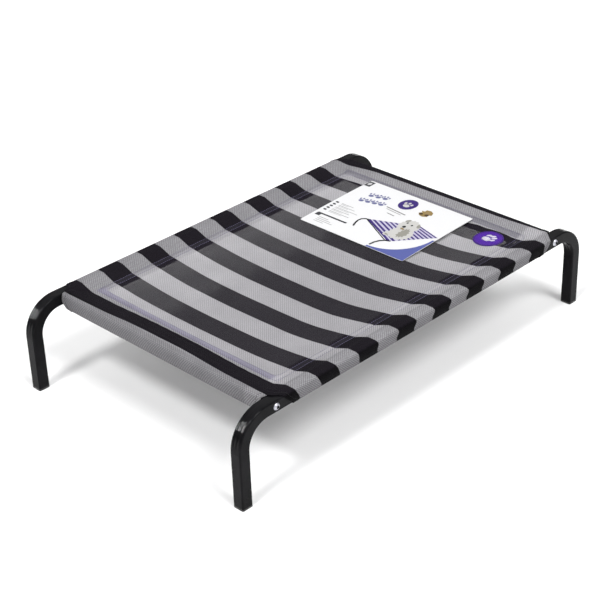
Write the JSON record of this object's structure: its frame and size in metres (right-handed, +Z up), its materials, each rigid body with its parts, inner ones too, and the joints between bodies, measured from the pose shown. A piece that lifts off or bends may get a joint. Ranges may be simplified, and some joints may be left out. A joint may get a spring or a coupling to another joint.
{
  "type": "raised pet bed",
  "caption": "Raised pet bed: two bent square-tube side rails form the legs, bolted crossbars stretch a striped mesh sling sewn into sleeves.",
  "frame": {"origin": "on the floor, under the middle of the bed", "axes": "+X along the side rails towards the end with the badge and the card, +Y across the bed to the left rail, +Z up"},
  "size_m": [1, 0.618, 0.1912],
  "materials": {
    "frame_tube": "gloss black powder coat on square steel tube",
    "end_plug": "dark nylon plug with a moulded-in thread",
    "zinc_bolt": "bright zinc plate",
    "foot_cap": "black polyethylene cap, satin",
    "mesh_panel": "woven PVC-coated mesh in black and silver-grey stripes, single layer",
    "mesh_sleeve": "the same striped mesh in two layers round the tube",
    "seam_thread": "dark polyester sewing thread",
    "badge_fabric": "purple woven badge with a plain white paw mark",
    "badge_thread": "purple overlock thread round the badge",
    "card_stock": null
  },
  "bodies": {
    "frame": {"side_rail_left": "frame_tube", "side_rail_right": "frame_tube", "crossbar_near": "frame_tube", "crossbar_far": "frame_tube", "end_plug_near_left": "end_plug", "end_plug_near_right": "end_plug", "end_plug_far_left": "end_plug", "end_plug_far_right": "end_plug", "corner_bolts": "zinc_bolt", "foot_cap_near_left": "foot_cap", "foot_cap_near_right": "foot_cap", "foot_cap_far_left": "foot_cap", "foot_cap_far_right": "foot_cap", "sling_panel": "mesh_panel", "sleeve_left": "mesh_sleeve", "sleeve_right": "mesh_sleeve", "sleeve_near": "mesh_sleeve", "sleeve_far": "mesh_sleeve", "seam_stitching": "seam_thread", "badge": "badge_fabric", "badge_stitching": "badge_thread"},
    "card": {"printed_card": "card_stock"}
  },
  "joints": [
    {"name": "card_lift", "type": "slide", "parent": "frame", "child": "card", "axis": [0, 0, 1], "range_m": [0, 0.15]}
  ]
}
